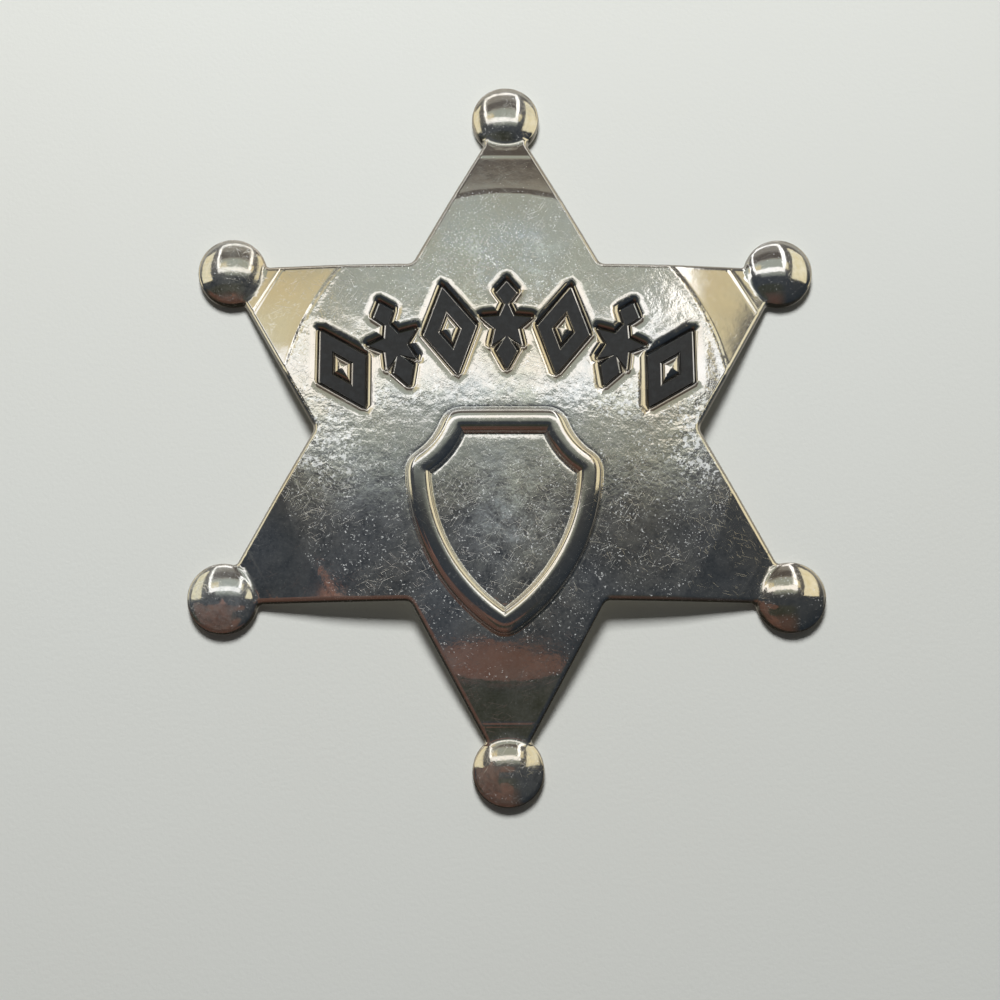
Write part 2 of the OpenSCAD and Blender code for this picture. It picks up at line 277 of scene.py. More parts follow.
class BadgeStageLook(PropertyGroup):
    """The floor, the camera and the lights"""

    floor: colour("Floor", "#DCDFDB", "Pale floor")
    floor_warm: colour("Warm floor", "#D9DAD4", "Pale floor, in its warmer patches")
    frame: colour("Frame light", "#FFFCF8", "The glowing frame that the nickel mirrors")
    frame_corner: colour("Frame corner", "#E0D2A8", "The cream corners of the frame")
    inside: colour("Inside", "#A9AEA2", "What shows inside the frame on its near side")
    inside_edge: colour("Inside edge", "#8A8276", "The same further off, where it darkens")
    inside_dark: colour("Inside dark", "#4B4239", "The dark part inside the frame")
    inside_far: colour("Inside far", "#8C867C", "What shows inside the frame on its far side")
    cream: colour("Walls", "#F0E8CC", "The walls at both sides")
    ceiling: colour("Ceiling", "#5C5853", "The ceiling on the far side")
    dark: colour("Dark", "#1D262F", "The dark room on the near side")
    below_far: colour("Low far side", "#A9A69C", "What the nickel mirrors low on the far side")
    below_near: colour("Low near side", "#24221D", "What the nickel mirrors low on the near side")
    near_green: colour("Near green", "#262A1D", "The room on the near side, above the low brown")
    low_brown: colour("Low brown", "#4E382F", "The room low on the near side")
    brown: colour("Brown", "#7B5749", "The brown thing low on the near side")
    soft: colour("Soft light", "#F6F7F6", "The even light on all that doesn't mirror")
    soft_power: number("Soft power", 2.05, "Power of the soft light, in watts")
    soft_size: length("Soft size", 120, "Size of the soft light")
    soft_place: FloatVectorProperty(
        name="Soft place", description="Where the soft light hangs", subtype="TRANSLATION",
        default=(-30 * MM, 260 * MM, 340 * MM), precision=5,
    )
    soft_share: number("Even light", 0.06, "Strength of the light from all sides")
    floor_half: length("Floor half size", 1200, "Half of the floor's size")
    camera_place: FloatVectorProperty(
        name="Camera place", description="Where the camera stands", subtype="TRANSLATION",
        default=(-2.5 * MM, -29.4 * MM, 131.0 * MM), precision=5,
    )
    camera_turn: FloatVectorProperty(
        name="Camera turn", description="Tilt, pan and roll of the camera", subtype="EULER",
        default=(math.radians(9.95), math.radians(-0.79), math.radians(-0.09)), precision=5,
    )
    lens: number("Lens", 50.4, "Focal length in millimetres on a 36 mm frame")


GROUPS = {
    "star": BadgeStarSizes,
    "tips": BadgeTipSizes,
    "shield": BadgeShieldSizes,
    "band": BadgeBandSizes,
    "finish": BadgeFinish,
    "stage": BadgeStageLook,
}


class BadgeSettings(PropertyGroup):
    """All settings of the badge"""

    __annotations__ = {key: PointerProperty(type=group) for key, group in GROUPS.items()}


def in_mm(group):
    """The group's values as plain numbers, with lengths in millimetres and angles in radians."""
    values = {}
    for key in type(group).__annotations__:
        value = getattr(group, key)
        values[key] = value / MM if group.bl_rna.properties[key].unit == "LENGTH" else value
    return SimpleNamespace(**values)


def unit(v):
    """Each vector divided by its length."""
    return v / np.maximum(np.linalg.norm(v, axis=-1, keepdims=True), 1e-12)


def left_of(v):
    """Each plan vector turned a quarter to the left."""
    return np.stack([-v[..., 1], v[..., 0]], -1)


def smooth_max(a, b, soft):
    """The larger of two heights, with their crossing rounded: half their blend plus soft * h * (1 - h)."""
    h = np.clip(0.5 + 0.5 * (a - b) / soft, 0, 1)
    return b + (a - b) * h + soft * h * (1 - h)


def smooth_min(a, b, soft):
    """The smaller of two heights, with their crossing rounded."""
    return -smooth_max(-a, -b, soft)


def smooth_step(x, low, high):
    """0 below low, 1 above high, and t * t * (3 - 2 t) between."""
    t = np.clip((x - low) / (high - low), 0, 1)
    return t * t * (3 - 2 * t)


def arc(middle, start, end, steps):
    """Points round a middle from start to end the short way, at equal angles."""
    spoke = start - middle
    first = math.atan2(spoke[1], spoke[0])
    last = math.atan2(end[1] - middle[1], end[0] - middle[0])
    turn = (last - first + 3 * math.pi) % (2 * math.pi) - math.pi
    angles = first + turn * np.linspace(0, 1, steps)
    return middle + np.linalg.norm(spoke) * np.stack([np.cos(angles), np.sin(angles)], -1)


def bowed(start, end, sag, steps):
    """Points from start to end on an arc that bows to the left by sag, without the end."""
    span = np.linalg.norm(end - start)
    radius = (span * span / 4 + sag * sag) / (2 * abs(sag))
    middle = (start + end) / 2 + left_of(unit(end - start)) * (sag - math.copysign(radius, sag))
    return arc(middle, start, end, steps + 1)[:-1]


def spaced(loop, spacing):
    """A closed loop walked at equal steps of about the spacing."""
    closed = np.vstack([loop, loop[:1]])
    way = np.concatenate([[0], np.cumsum(np.linalg.norm(np.diff(closed, axis=0), axis=1))])
    at = np.linspace(0, way[-1], max(8, round(way[-1] / spacing)), endpoint=False)
    return np.stack([np.interp(at, way, closed[:, k]) for k in (0, 1)], -1)


def outward(loop):
    """Outward normals of a loop that runs anticlockwise: its chord directions turned a quarter right."""
    return -left_of(unit(np.roll(loop, -1, 0) - np.roll(loop, 1, 0)))


def distance_to(points, loop):
    """Distance from each point to a closed polygon, negative inside: the least distance to an edge,
    with its sign from the number of edges that a ray towards +X crosses."""
    start, end = loop, np.roll(loop, -1, 0)
    edge = end - start
    squared = np.maximum((edge**2).sum(1), 1e-18)
    rise = np.where(np.abs(edge[:, 1]) < 1e-12, 1e-12, edge[:, 1])
    result = np.empty(len(points))
    step = max(1, 2_000_000 // len(loop))
    for low in range(0, len(points), step):
        p = points[low : low + step, None, :]
        off = p - start
        t = np.clip((off * edge).sum(2) / squared, 0, 1)
        far = off - t[..., None] * edge
        least = np.sqrt((far**2).sum(2).min(1))
        x, y = p[..., 0], p[..., 1]
        level = (start[:, 1] <= y) != (end[:, 1] <= y)
        crossed = level & (x < start[:, 0] + (y - start[:, 1]) * edge[:, 0] / rise)
        result[low : low + step] = np.where(crossed.sum(1) % 2 == 1, -least, least)
    return result


def softened(loop, spacing, reach):
    """A closed loop with its corners rounded: each point becomes the mean of those within reach, where
    the near ones count more."""
    even = spaced(loop, spacing)
    side = max(1, round(reach / spacing))
    shares = 1 - np.abs(np.arange(-side, side + 1)) / (side + 1)
    total = sum(part * np.roll(even, k, 0) for k, part in zip(range(-side, side + 1), shares))
    return total / shares.sum()


class StarForm:
    """The badge's form, worked out from its sizes in millimetres as heights over the plan."""

    def __init__(self, settings):
        self.star = in_mm(settings.star)
        self.tips = in_mm(settings.tips)
        self.shield = in_mm(settings.shield)
        self.band = in_mm(settings.band)
        s, t = self.star, self.tips
        self.step = 2 * math.pi / POINTS
        self.slope = math.tan(s.point_slope)
        self.crease_z = s.neck_lift + (s.tip_reach - t.ball_r - s.crease_r) * self.slope
        self.dome_mid = self.crease_z - math.sqrt(s.dome_r**2 - s.crease_r**2)
        rise = t.ball_h - t.rim_t
        self.ball_sphere = (t.ball_r**2 + rise**2) / (2 * rise)
        self.ball_mid = t.ball_h - self.ball_sphere
        self.rim_r = t.ball_r + t.rim_w
        self.hollow_r = self.rim_r - t.ring_w
        self.edge_reach = s.tip_reach + s.edge_past
        self.tip_spots = np.array([self.place(s.tip_reach, i) for i in range(POINTS)])
        self.plain_loop = np.array([
            self.place((self.edge_reach, s.notch_reach)[k % 2], k / 2) for k in range(2 * POINTS)
        ])
        self.plate_loop = self.star_loop(False)
        self.whole_loop = self.star_loop(True)
        self.bead_line = softened(self.shield_line(), BEAD_STEP, self.shield.corner_soft)
        self.fields = self.field_loops()

    def place(self, radius, i):
        """A plan place at a radius, i steps round from the top, drawn in to the star's width."""
        angle = math.pi / 2 + self.step * i
        return np.array([radius * self.star.width_share * math.cos(angle), radius * math.sin(angle)])

    def neck_arc(self, i, corner, side):
        """The round run from an edge of point i into the rim of its ball: it touches the edge and the rim."""
        tip, end = self.place(self.star.tip_reach, i), self.place(self.edge_reach, i)
        fillet = self.star.neck_fillet
        along = unit(corner - end)
        out = left_of(along) * side
        aside = fillet - (tip - end) @ out
        foot = end + along * ((tip - end) @ along + math.sqrt((self.rim_r + fillet) ** 2 - aside**2))
        middle = foot + out * fillet
        return arc(middle, foot, middle + unit(tip - middle) * fillet, NECK_STEPS)

    def notch_arc(self, i):
        """The round corner of the notch after point i: it touches the edges of two points."""
        corner = self.place(self.star.notch_reach, i + 0.5)
        one = unit(self.place(self.edge_reach, i) - corner)
        other = unit(self.place(self.edge_reach, i + 1) - corner)
        out = unit(one + other)
        half = math.acos(one @ out)
        run = self.star.notch_fillet / math.tan(half)
        middle = corner + out * self.star.notch_fillet / math.sin(half)
        return arc(middle, corner + one * run, corner + other * run, NOTCH_STEPS)

    def star_loop(self, with_balls):
        """The star's outline, with its points ending at the tips' middles or running round their balls."""
        parts = []
        for i in range(POINTS):
            tip = self.place(self.star.tip_reach, i)
            before = self.neck_arc(i, self.place(self.star.notch_reach, i - 0.5), 1)
            after = self.neck_arc(i, self.place(self.star.notch_reach, i + 0.5), -1)[::-1]
            parts.append(before)
            if with_balls:
                first = math.atan2(*(before[-1] - tip)[::-1])
                last = math.atan2(*(after[0] - tip)[::-1])
                angles = first + ((last - first) % (2 * math.pi)) * np.linspace(0, 1, BALL_STEPS)[1:-1]
                parts.append(tip + self.rim_r * np.stack([np.cos(angles), np.sin(angles)], -1))
            else:
                parts.append(tip[None])
            parts += [after, self.notch_arc(i)]
        return np.vstack(parts)

    def shield_line(self):
        """The middle of the raised line: a straight top, two hollow shoulders and two bowed sides."""
        s = self.shield
        fall = s.drop - s.shoulder_drop
        side_r = (s.half**2 + fall**2) / (2 * s.half)
        side_sag = side_r - math.sqrt(side_r**2 - (s.half**2 + fall**2) / 4)
        corners = np.array([
            [-s.top_half, 0], [s.top_half, 0], [s.half, -s.shoulder_drop],
            [0, -s.drop], [-s.half, -s.shoulder_drop],
        ]) + [s.shift, s.top]
        return np.vstack([
            corners[:1],
            bowed(corners[1], corners[2], -s.shoulder_sag, SHOULDER_STEPS),
            bowed(corners[2], corners[3], side_sag, SIDE_STEPS),
            bowed(corners[3], corners[4], side_sag, SIDE_STEPS),
            bowed(corners[4], corners[0], -s.shoulder_sag, SHOULDER_STEPS),
        ])

    def ornament(self, i):
        """The outlines of field i: a lozenge's outer and inner outline, or a star between two diamonds."""
        b = self.band
        if i % 2 == 0:
            outer = np.array([[b.lozenge_w, 0], [0, b.lozenge_h], [-b.lozenge_w, 0], [0, -b.lozenge_h]]) / 2
            side = math.hypot(b.lozenge_w, b.lozenge_h)
            inset = 1 - 2 * b.lozenge_line * side / (b.lozenge_w * b.lozenge_h)
            return [outer, outer * inset]
        upper = b.star_r + b.diamond_h - b.diamond_lap
        lower = -b.star_inner_r - b.drop_h + b.diamond_lap
        angle = np.arange(1, 5) * math.pi / 5
        radius = np.where(np.arange(1, 5) % 2 == 0, b.star_r, b.star_inner_r)
        star = np.stack([radius * np.sin(angle), radius * np.cos(angle)], -1)
        right = np.vstack([
            [0, upper],
            [b.diamond_w / 2, upper - b.diamond_h / 2],
            [b.neck_w / 2, b.star_r - b.diamond_lap],
            star,
            [b.neck_w / 2, -b.star_inner_r],
            [b.diamond_w / 2, lower + b.drop_h / 2],
            [0, lower],
        ])
        whole = np.vstack([right, right[-2:0:-1] * [-1, 1]])
        return [whole[::-1]]

    def field_loops(self):
        """The outlines of all fields, turned and carried to their places along the arched band, each with its
        field's number and its own number there: 0 for the outer one and 1 for an inner one."""
        b = self.band
        count = len(FIELD_NODES)
        loops = []
        for i in range(count):
            turn = ((count - 1) / 2 - i) * b.pitch
            c, s = math.cos(turn), math.sin(turn)
            for k, loop in enumerate(self.ornament(i)):
                lifted = loop + [0, b.radius]
                loops.append((i, k, lifted @ np.array([[c, s], [-s, c]]) - [0, b.drop]))
        return loops

    def field_distance(self, points):
        """Distance from each sunk field to each point, negative inside the field and FAR where it is far off.
        They are kept apart, so that the ridge between two fields can be rounded."""
        count = len(FIELD_NODES)
        each = np.full((count, len(points)), FAR)
        b = self.band
        turn = np.arctan2(-points[:, 0], points[:, 1] + b.drop)
        reach = np.abs(np.hypot(points[:, 0], points[:, 1] + b.drop) - b.radius)
        near_band = reach < b.lozenge_h / 2 + BAND_NEAR
        for i in range(count):
            middle = ((count - 1) / 2 - i) * b.pitch
            near = near_band & (np.abs(turn - middle) < b.pitch * 1.6)
            outer, *inner = [loop for at, _, loop in self.fields if at == i]
            d = distance_to(points[near], outer)
            if inner:
                d = np.maximum(d, -distance_to(points[near], inner[0]))
            each[i, near] = d
        return each

    def bend_r(self, points):
        """Each point's distance to the middle, measured so that the bend lies at its radius all round."""
        return np.hypot(points[:, 0] / self.star.bend_wide, points[:, 1] / self.star.bend_tall)

    def dome(self, points):
        """Height of the sheet's underside: a sphere's cap inside the bend, a cone outside it."""
        s = self.star
        r = self.bend_r(points)
        cap = self.dome_mid + np.sqrt(s.dome_r**2 - r**2)
        cone = self.crease_z - (r - s.crease_r) * self.slope
        return smooth_min(cap, cone, s.crease_soft)

    def fold(self, points):
        """Height of the line pressed in along the bend in the upper half: a bell curve across it, with marks
        at equal steps."""
        s = self.star
        along = s.crease_r * np.arctan2(points[:, 1], points[:, 0])
        marks = 0.93 + 0.07 * np.cos(2 * math.pi * along / s.fold_step)
        marks *= smooth_step(points[:, 1], 0, 6)
        return s.fold_h * marks * np.exp(-(((self.bend_r(points) - s.crease_r + s.fold_w) / s.fold_w) ** 2))

    def collar(self, points):
        """Height of the straight line pressed across each neck: a bell curve along the point."""
        t = self.tips
        axes = unit(self.tip_spots)
        way = np.abs(points @ axes.T - np.linalg.norm(self.tip_spots, axis=1) + t.collar_at)
        aside = np.abs(points @ left_of(axes).T)
        way = np.where((aside < COLLAR_HALF) & (points @ axes.T > 0), way, 9).min(1)
        return t.collar_h * np.exp(-((way / t.collar_w) ** 2))

    def bead(self, points):
        """Height of the raised line: a flattened half ellipse across it, with a soft foot."""
        s = self.shield
        result = np.zeros(len(points))
        near = np.abs(points[:, 0] - s.shift) < s.half + BEAD_NEAR
        near &= points[:, 1] < s.top + BEAD_NEAR
        near &= points[:, 1] > s.top - s.drop - BEAD_NEAR
        off = np.abs(distance_to(points[near], self.bead_line)) / s.bead_half
        line = np.sqrt(np.maximum(1 - off**s.bead_form, 0))
        form = np.where(off < 1, line, (1 - off) * BEAD_FALL) * s.bead_h
        result[near] = np.where(off < 2, smooth_max(form, 0, s.foot_soft), 0)
        beside = (off - 1) * s.bead_half / s.groove_w - GROOVE_PLACE
        result[near] -= s.groove_h * np.exp(-(beside**2))
        return result

    def band_relief(self, points):
        """Height of the sunk band over the sheet: flat floors, a narrow sloping foot, walls that are a
        quarter of an ellipse, and a lip that dies out. The ridge between two fields is rounded by blending
        the distances to them."""
        b = self.band
        two = np.partition(self.field_distance(points), 1, axis=0)[:2]
        off = smooth_min(two[0], two[1], b.ridge_soft)
        foot = b.foot_h * np.clip(off / b.foot_w, 0, 1)
        up = np.clip((off - b.foot_w) / b.wall_w, 0, 1)
        wall = (b.sink + b.lip_h - b.foot_h) * np.sqrt(1 - (1 - up) ** 2)
        lip = b.lip_h * smooth_step(off - b.foot_w - b.wall_w, 0, b.lip_w)
        return foot + wall - b.sink - lip

    def ball_offsets(self, points):
        """Each point's distance to the middle of its nearest ball tip."""
        return np.linalg.norm(points[:, None, :] - self.tip_spots, axis=2).min(1)

    def plate_distance(self, points):
        """Distance to the outline of the star without its balls, negative inside. Deep inside, the plain
        star of straight lines stands in for it."""
        result = distance_to(points, self.plain_loop)
        near = result > -2
        result[near] = distance_to(points[near], self.plate_loop)
        return result

    def edge_distance(self, points):
        """Distance to the whole outline, negative inside: that of the star or that of the nearest rim."""
        return np.minimum(self.plate_distance(points), self.ball_offsets(points) - self.rim_r)

    def edge_drop(self, points):
        """How far the rolled edge falls: a quarter of an ellipse inside the outline, steep outside it."""
        s = self.star
        inside = -self.plate_distance(points)
        t = np.clip(inside / s.edge_w, 0, 1)
        drop = s.edge_h * (1 - np.sqrt(1 - (1 - t) ** 2))
        return np.where(inside > 0, drop, s.edge_h - EDGE_FALL * inside)

    def ball_top(self, rho):
        """Height of a ball tip: a sphere's cap, then the rim with its rounded edge."""
        t = self.tips
        cap = self.ball_mid + np.sqrt(np.maximum(self.ball_sphere**2 - rho**2, 0))
        past = np.clip((rho - t.ball_r) / t.rim_w, 0, 1)
        rim = t.rim_t * (RIM_UPRIGHT + (1 - RIM_UPRIGHT) * np.sqrt(1 - past**2))
        top = np.where(rho < t.ball_r, cap, rim)
        return np.where(rho < self.rim_r, top, RIM_UPRIGHT * t.rim_t - RIM_FALL * (rho - self.rim_r))

    def top(self, points):
        """Height of the face: crown, raised line, sunk band and rolled edge, flowing into the ball tips."""
        plate = self.dome(points) + self.star.sheet + self.fold(points) + self.collar(points)
        plate += self.bead(points) + self.band_relief(points) - self.edge_drop(points)
        return smooth_max(plate, self.ball_top(self.ball_offsets(points)), self.tips.neck_soft)

    def under(self, points):
        """Height of the underside: the crown with a groove behind the raised line, and the hollow balls."""
        plate = self.dome(points) + self.bead(points)
        rho = self.ball_offsets(points)
        inner = self.ball_sphere - self.tips.ball_wall
        hollow = self.ball_mid + np.sqrt(np.maximum(inner**2 - rho**2, 0))
        hollow = np.where(rho < self.hollow_r, hollow, 0)
        return plate + (hollow - plate) * (1 - smooth_step(rho, self.rim_r, self.rim_r + HOLLOW_BLEND))

    def slope_normals(self, height, points):
        """Normals of a height over the plan, from its slopes over a hundredth of a millimetre each way."""
        e = 0.01
        dx = (height(points + [e, 0]) - height(points - [e, 0])) / (2 * e)
        dy = (height(points + [0, e]) - height(points - [0, e])) / (2 * e)
        return unit(np.stack([-dx, -dy, np.ones(len(points))], -1))


def offset_rows(loop, offsets):
    """Rows of points beside a loop at each offset, outwards where it is positive."""
    return [(d, loop + outward(loop) * d) for d in offsets]


def ring(radius, step, stretch=(1, 1)):
    """Points round the middle at equal angles, about a step apart, with the ring stretched along X and Y."""
    angles = np.linspace(0, 2 * math.pi, max(12, round(2 * math.pi * radius / step)), endpoint=False)
    return radius * np.stack([stretch[0] * np.cos(angles), stretch[1] * np.sin(angles)], -1)


def feature_rows(form):
    """Rows of points that only the face has: beside the sunk fields, along the bend and across the necks."""
    rows = []
    for _, k, loop in form.fields:
        even = spaced(loop, FIELD_STEP)
        both = np.vstack([even, loop])
        out = np.vstack([outward(even), outward(loop)]) * (1 if k == 0 else -1)
        for d in FIELD_ROWS:
            row = both + out * d
            nearest = form.field_distance(row).min(0)
            if d == 0:
                keep = nearest > -1
            else:
                keep = (np.abs(nearest) > abs(d) * EDGE_KEPT) & (np.sign(nearest) * np.sign(d) >= 0)
            rows.append(row[keep])
    lines = [
        ring(radius, BEND_STEP, (form.star.bend_wide, form.star.bend_tall))
        for radius in form.star.crease_r + BEND_ROWS
    ]
    for spot, axis in zip(form.tip_spots, unit(form.tip_spots)):
        across = np.linspace(-COLLAR_HALF, COLLAR_HALF, 40)[:, None] * left_of(axis)
        lines += [spot - axis * back + across for back in form.tips.collar_at + COLLAR_ROWS]
    return rows + [line[-form.edge_distance(line) > FACE_CUT.edge_gap] for line in lines]


def plan_points(form, edge_loop, cut):
    """Points over the plan: rows along the outline, the balls, the raised line and the features of the face,
    and a triangular grid between them. A row's point stays only where no other feature lies nearer."""
    on_face = cut is FACE_CUT
    rows = []
    for d, row in offset_rows(edge_loop, [-v for v in cut.edge_rows]):
        rows.append(row[-form.edge_distance(row) > -d * EDGE_KEPT])
    if on_face:
        radii = form.rim_r - np.array(BALL_RINGS)
    else:
        radii = [form.rim_r - 0.25, form.hollow_r + 0.03, *(form.hollow_r - np.array(HOLLOW_RINGS))]
    for radius in radii:
        rows += [ring(radius, cut.ring_step) + spot for spot in form.tip_spots]
    rows.append(form.tip_spots)
    half = form.shield.bead_half
    across = half * np.array(cut.line_rows)
    for d, row in offset_rows(spaced(form.bead_line, cut.line_step), [*across, *-across[1:]]):
        rows.append(row[np.abs(distance_to(row, form.bead_line)) > abs(d) * LINE_KEPT])
    limit = form.star.tip_reach + 2 * form.tips.ball_r
    pitch = cut.pitch
    gx, gy = np.meshgrid(np.arange(-limit, limit, pitch), np.arange(-limit, limit, pitch * math.sqrt(0.75)))
    gx[1::2] += pitch / 2
    grid = np.stack([gx.ravel(), gy.ravel()], -1)
    grid = grid[-form.edge_distance(grid) > cut.edge_gap]
    clear = form.ball_offsets(grid) > form.rim_r
    clear &= np.abs(distance_to(grid, form.bead_line)) > half * 1.4 + pitch * 0.4
    if on_face:
        rows += feature_rows(form)
        middle, reach = BEND_CLEAR
        clear &= form.field_distance(grid).min(0) > FIELD_CLEAR
        clear &= np.abs(form.bend_r(grid) - form.star.crease_r - middle) > reach
    points = np.vstack([*rows, grid[clear]])
    points = points[-form.edge_distance(points) > EDGE_CLEAR + (0 if on_face else form.star.burr)]
    _, first = np.unique(np.round(points / MERGE).astype(np.int64), axis=0, return_index=True)
    return points[np.sort(first)]


def filled(edge_loop, points):
    """Triangles between an outline and the points inside it: plan places and index triples, outline first."""
    count = len(edge_loop)
    spots = np.vstack([edge_loop, points])
    places, _, faces, came, _, _ = delaunay_2d_cdt(spots.tolist(), [], [list(range(count))], 1, 1e-6)
    places = np.array([p.to_tuple() for p in places])
    old = np.array([ids[0] if ids else -1 for ids in came])
    if (old[:count] != np.arange(count)).any():
        raise RuntimeError("the outline changed while it was filled")
    return places, np.array(faces)


def wear_and_glints(form, points, on_face):
    """How hazed, how dented with painted glints and how dark with patina the sheet is at each point. Haze and
    glint dents have an even share with patches that fade out as a bell curve, and other shares beyond the
    bend.
    The raised line, the sunk fields and the edge stay bright. Patina lies in the lower part of the fields'
    walls."""
    inner = np.tile(EVEN_WEAR_AND_GLINTS, (len(points), 1))
    for x, y, wide, tall, *added in WORN_AND_GLINT_PATCHES:
        bell = np.exp(-(((points[:, 0] - x) / wide) ** 2 + ((points[:, 1] - y) / tall) ** 2))
        inner += bell[:, None] * added
    ball = np.tile(BALL_WEAR_AND_GLINTS, (len(points), 1))
    ball[:, 0] *= 1 - points[:, 0] / BALL_LEAN
    on_ball = form.ball_offsets(points)[:, None] < form.rim_r
    bend = smooth_step(form.bend_r(points), form.star.crease_r - 0.2, form.star.crease_r + 0.2)[:, None]
    nearest = form.field_distance(points).min(0)
    rubbed = (1 - 0.8 * smooth_step(form.bead(points), 0.02, 0.2)) * smooth_step(nearest, 0.7, 1.2) * on_face
    rubbed *= smooth_step(-form.edge_distance(points), 0.1, 0.5)
    worn = np.clip(inner, 0, 1) * (1 - bend) + np.where(on_ball, ball, POINT_WEAR_AND_GLINTS) * bend
    # Haze, and dents that the material also paints with near-white glints
    haze, dents_and_glints = (worn * rubbed[:, None]).T
    patina = np.where(on_face, 0.75 * smooth_step(-np.abs(nearest - 0.22), -0.14, 0), 0)
    return {"haze": haze, "dents_and_glints": dents_and_glints, "patina": patina}


def placed(name, data):
    """A new object in the scene, at the origin."""
    item = bpy.data.objects.new(name, data)
    bpy.context.scene.collection.objects.link(item)
    return item


def make_mesh(name, verts, triangles, quads, normals, attributes):
    """A mesh in metres from points in millimetres, with its own normals and point attributes."""
    mesh = bpy.data.meshes.new(name)
    mesh.from_pydata((verts * MM).tolist(), [], triangles.tolist() + quads.tolist())
    mesh.update()
    mesh.polygons.foreach_set("use_smooth", np.ones(len(mesh.polygons), bool))
    mesh.normals_split_custom_set_from_vertices(normals.tolist())
    for key, values in attributes.items():
        layer = mesh.attributes.new(key, "FLOAT", "POINT")
        layer.data.foreach_set("value", np.ascontiguousarray(values, np.float32))
    return placed(name, mesh)


def rgba(value):
    """A colour as the four numbers that a socket takes; another node's output stays as it is."""
    return value if isinstance(value, bpy.types.NodeSocket) else (*value, 1.0)


class Shading:
    """The nodes of a material or a world, with a short way to add each kind that repeats."""

    def __init__(self, owner):
        owner.use_nodes = True
        self.owner = owner
        self.tree = owner.node_tree
        self.tree.nodes.clear()
        self.coordinates = self.add("ShaderNodeTexCoord").outputs
        self.place = self.coordinates["Object"]

    def add(self, kind, inputs=None, **settings):
        """Adds a node; an input's value is a number, a colour or another node's output."""
        node = self.tree.nodes.new(kind)
        for key, value in settings.items():
            setattr(node, key, value)
        for key, value in (inputs or {}).items():
            if isinstance(value, bpy.types.NodeSocket):
                self.tree.links.new(value, node.inputs[key])
            else:
                node.inputs[key].default_value = value
        return node

    def attribute(self, name):
        """A value that the mesh carries at its points."""
        return self.add("ShaderNodeAttribute", attribute_name=name).outputs["Fac"]

    def noise(self, size_mm, detail=2.0, rough=0.5):
        """Noise with features of one size."""
        return self.add("ShaderNodeTexNoise", {
            "Vector": self.place, "Scale": 1 / (size_mm * MM), "Detail": detail, "Roughness": rough,
        }).outputs["Fac"]

    def drawn_noise(self, sizes_mm, turn=0, detail=2.0, rough=0.5):
        """Noise drawn out to a size along each axis and turned about Z by an angle in degrees."""
        drawn = self.add("ShaderNodeMapping", {
            "Vector": self.place, "Rotation": (0, 0, math.radians(turn)), "Scale": [v * MM for v in sizes_mm],
        }, vector_type="TEXTURE")
        return self.add("ShaderNodeTexNoise", {
            "Vector": drawn.outputs[0], "Scale": 1.0, "Detail": detail, "Roughness": rough,
        }).outputs["Fac"]

    def scratches(self, turn, width, span, cover):
        """Fine straight scratches in one direction: of noise drawn out to span by width, in millimetres, only
        the highest parts stay."""
        return self.ranged(self.drawn_noise((span, width, 1000), turn, 1.0, 0.4), cover, cover + 0.05)

    def ranged(self, value, low, high, to_low=0.0, to_high=1.0):
        """A value carried from one range to another, and kept inside it."""
        return self.add("ShaderNodeMapRange", {
            "Value": value, "From Min": low, "From Max": high, "To Min": to_low, "To Max": to_high,
        }).outputs[0]

    def joined(self, operation, values):
        """Values joined one after another by an operation of the Math node."""
        result, *others = values
        for value in others:
            result = self.add("ShaderNodeMath", {0: result, 1: value}, operation=operation).outputs[0]
        return result

    def total(self, *values):
        return self.joined("ADD", values)

    def product(self, *values):
        return self.joined("MULTIPLY", values)

    def largest(self, *values):
        return self.joined("MAXIMUM", values)

    def mixed(self, part, one, other):
        """One colour turned into the other by a part from 0 to 1."""
        colours = {"Factor": part, 6: rgba(one), 7: rgba(other)}
        return self.add("ShaderNodeMix", colours, data_type="RGBA").outputs[2]

    def bump(self, height, depth=1.0):
        """A normal from a height, which is in metres once it is multiplied by depth."""
        return self.add("ShaderNodeBump", {"Height": height, "Strength": 1.0, "Distance": depth}).outputs[0]

    def principled(self, inputs):
        """Ends a material's tree with its shader."""
        shader = self.add("ShaderNodeBsdfPrincipled", inputs)
        self.add("ShaderNodeOutputMaterial", {"Surface": shader.outputs[0]})
        return self.owner


